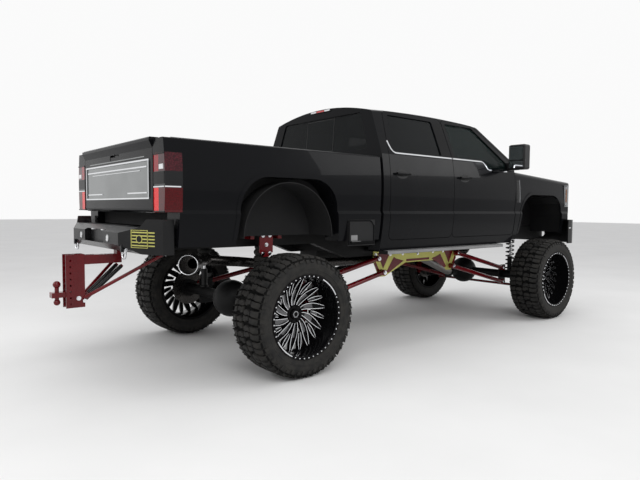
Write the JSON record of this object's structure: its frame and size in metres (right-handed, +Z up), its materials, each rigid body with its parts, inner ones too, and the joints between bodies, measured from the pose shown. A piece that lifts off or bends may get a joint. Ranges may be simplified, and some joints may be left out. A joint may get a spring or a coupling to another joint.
{
  "type": "lifted crew-cab pickup truck",
  "caption": "Lifted crew-cab pickup truck with long-travel links, deep-dish wheels on mud tyres, opening doors, hood and tailgate, steering front wheels and a drop hitch.",
  "frame": {"origin": "on the ground under the middle of the overall length", "axes": "+X forward, +Y to the left, +Z up"},
  "size_m": [6.657, 2.564, 2.4899],
  "materials": {
    "body_paint": "gloss black paint",
    "dark_glass": "dark tinted glass",
    "bright_trim": "bright trim",
    "clear_lens": "clear lens",
    "red_lens": "red lens",
    "black_steel": "satin black coating",
    "red_paint": "dark red gloss coating",
    "bed_lining": "sprayed black lining",
    "grey_step": "grey step cover",
    "bright_steel": "bare steel",
    "black_rim": "gloss black with milled faces",
    "tyre_rubber": "black rubber",
    "seat_leather": "black leather",
    "cabin_plastic": "black plastic"
  },
  "bodies": {
    "chassis": {"bed_liner": "bed_lining", "bed_sides": "body_paint", "bed_steps": "black_steel", "cab_glass": "dark_glass", "cab_shell": "body_paint", "dashboard": "cabin_plastic", "driveshafts": "black_steel", "drivetrain": "black_steel", "drop_hitch": "red_paint", "exhaust": "bright_steel", "frame_rails": "black_steel", "front_axle": "black_steel", "front_bumper": "body_paint", "front_fenders": "body_paint", "front_seats": "seat_leather", "front_support": "black_steel", "fuel_tank": "bed_lining", "grille": "bright_trim", "gusset_plates": "red_paint", "head_lamps": "clear_lens", "rear_axle": "black_steel", "rear_bumper": "black_steel", "rear_seat": "seat_leather", "running_boards": "grey_step", "spring_towers": "red_paint", "springs": "bright_steel", "suspension_links": "red_paint", "tail_lamps": "red_lens"},
    "door_front_left": {"door_front_left": "body_paint", "glass_front_left": "dark_glass", "mirror_left": "cabin_plastic"},
    "door_front_right": {"door_front_right": "body_paint", "glass_front_right": "dark_glass", "mirror_right": "cabin_plastic"},
    "door_rear_left": {"door_rear_left": "body_paint", "glass_rear_left": "dark_glass"},
    "door_rear_right": {"door_rear_right": "body_paint", "glass_rear_right": "dark_glass"},
    "hood": {"hood": "body_paint"},
    "tailgate": {"tailgate": "body_paint", "tailgate_panel": "bright_trim"},
    "knuckle_left": {"knuckle_left": "black_steel"},
    "knuckle_right": {"knuckle_right": "black_steel"},
    "tie_rod": {"tie_rod": "black_steel"},
    "steering_wheel": {"steering_wheel": "cabin_plastic"},
    "wheel_front_left": {"rim_front_left": "black_rim", "tyre_front_left": "tyre_rubber"},
    "wheel_front_right": {"rim_front_right": "black_rim", "tyre_front_right": "tyre_rubber"},
    "wheel_rear_left": {"rim_rear_left": "black_rim", "tyre_rear_left": "tyre_rubber"},
    "wheel_rear_right": {"rim_rear_right": "black_rim", "tyre_rear_right": "tyre_rubber"}
  },
  "joints": [
    {"name": "spin_rear_left", "type": "hinge", "parent": "chassis", "child": "wheel_rear_left", "pos_m": [-1.6915, 1.025, 0.508], "axis": [0, 1, 0], "continuous": true},
    {"name": "steer_left", "type": "hinge", "parent": "chassis", "child": "knuckle_left", "pos_m": [2.3685, 0.795, 0.508], "axis": [0, 0, 1], "range_deg": [-30, 30]},
    {"name": "spin_front_left", "type": "hinge", "parent": "knuckle_left", "child": "wheel_front_left", "pos_m": [2.3685, 1.025, 0.508], "axis": [0, 1, 0], "continuous": true},
    {"name": "open_door_front_left", "type": "hinge", "parent": "chassis", "child": "door_front_left", "pos_m": [1.7025, 1.003, 1.5], "axis": [0, 0, -1], "range_deg": [0, 65]},
    {"name": "open_door_rear_left", "type": "hinge", "parent": "chassis", "child": "door_rear_left", "pos_m": [0.4885, 1.003, 1.5], "axis": [0, 0, -1], "range_deg": [0, 65]},
    {"name": "spin_rear_right", "type": "hinge", "parent": "chassis", "child": "wheel_rear_right", "pos_m": [-1.6915, -1.025, 0.508], "axis": [0, 1, 0], "continuous": true},
    {"name": "steer_right", "type": "hinge", "parent": "chassis", "child": "knuckle_right", "pos_m": [2.3685, -0.795, 0.508], "axis": [0, 0, 1], "range_deg": [-30, 30]},
    {"name": "spin_front_right", "type": "hinge", "parent": "knuckle_right", "child": "wheel_front_right", "pos_m": [2.3685, -1.025, 0.508], "axis": [0, 1, 0], "continuous": true},
    {"name": "open_door_front_right", "type": "hinge", "parent": "chassis", "child": "door_front_right", "pos_m": [1.7025, -1.003, 1.5], "axis": [0, 0, 1], "range_deg": [0, 65]},
    {"name": "open_door_rear_right", "type": "hinge", "parent": "chassis", "child": "door_rear_right", "pos_m": [0.4885, -1.003, 1.5], "axis": [0, 0, 1], "range_deg": [0, 65]},
    {"name": "tie_rod_pivot", "type": "hinge", "parent": "knuckle_left", "child": "tie_rod", "pos_m": [2.5685, 0.795, 0.375], "axis": [0, 0, 1], "range_deg": [-30, 30]},
    {"name": "open_hood", "type": "hinge", "parent": "chassis", "child": "hood", "pos_m": [2.0135, 0, 1.90706], "axis": [0, -1, 0], "range_deg": [0, 50]},
    {"name": "open_tailgate", "type": "hinge", "parent": "chassis", "child": "tailgate", "pos_m": [-2.7845, 0, 1.381], "axis": [0, -1, 0], "range_deg": [0, 90]},
    {"name": "turn_steering_wheel", "type": "hinge", "parent": "chassis", "child": "steering_wheel", "pos_m": [1.1685, 0.4, 1.73], "axis": [-0.9063, 0, 0.4226], "range_deg": [-450, 450]}
  ],
  "couplings": [
    {"joint": "steer_right", "follows": "steer_left", "ratio": 1},
    {"joint": "tie_rod_pivot", "follows": "steer_left", "ratio": -1},
    {"joint": "turn_steering_wheel", "follows": "steer_left", "ratio": 15}
  ]
}
